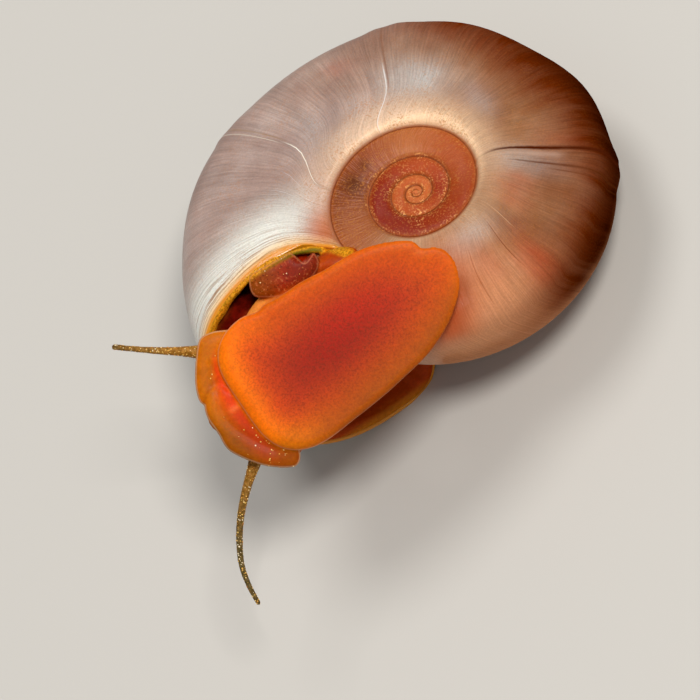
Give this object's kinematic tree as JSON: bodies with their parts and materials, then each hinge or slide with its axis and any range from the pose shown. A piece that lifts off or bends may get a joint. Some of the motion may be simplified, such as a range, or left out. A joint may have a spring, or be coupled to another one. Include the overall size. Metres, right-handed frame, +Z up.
{
  "type": "ramshorn snail",
  "caption": "Still life-size model of a live ramshorn snail with a flat coiled pinkish shell, lying on the far side of its shell with its orange sole, head and feelers reaching out of the mouth.",
  "frame": {"origin": "on the floor, under the middle of the model's box", "axes": "+Z is up from the floor that the far side of the shell lies on, +X is the picture's right, +Y leads away from the camera"},
  "size_m": [0.0258, 0.0176, 0.0125],
  "materials": {
    "shell": "thin chalky shell with a satin, faintly pearly surface and fine growth lines",
    "foot": "moist translucent orange skin, red in the middle",
    "head": "moist translucent red-orange skin",
    "body": "moist dark red skin",
    "mantle": "moist yellow-orange skin with darker specks",
    "feeler": "moist translucent grey-brown skin with pale gold dots",
    "eye": "wet black"
  },
  "bodies": {
    "root": {"shell": "shell", "foot": "foot", "head": "head", "neck": "body", "mantle_collar": "mantle", "gill_fold": "mantle", "tentacle_left": "feeler", "tentacle_right": "feeler", "eye_left": "eye", "eye_right": "eye"}
  },
  "joints": []
}
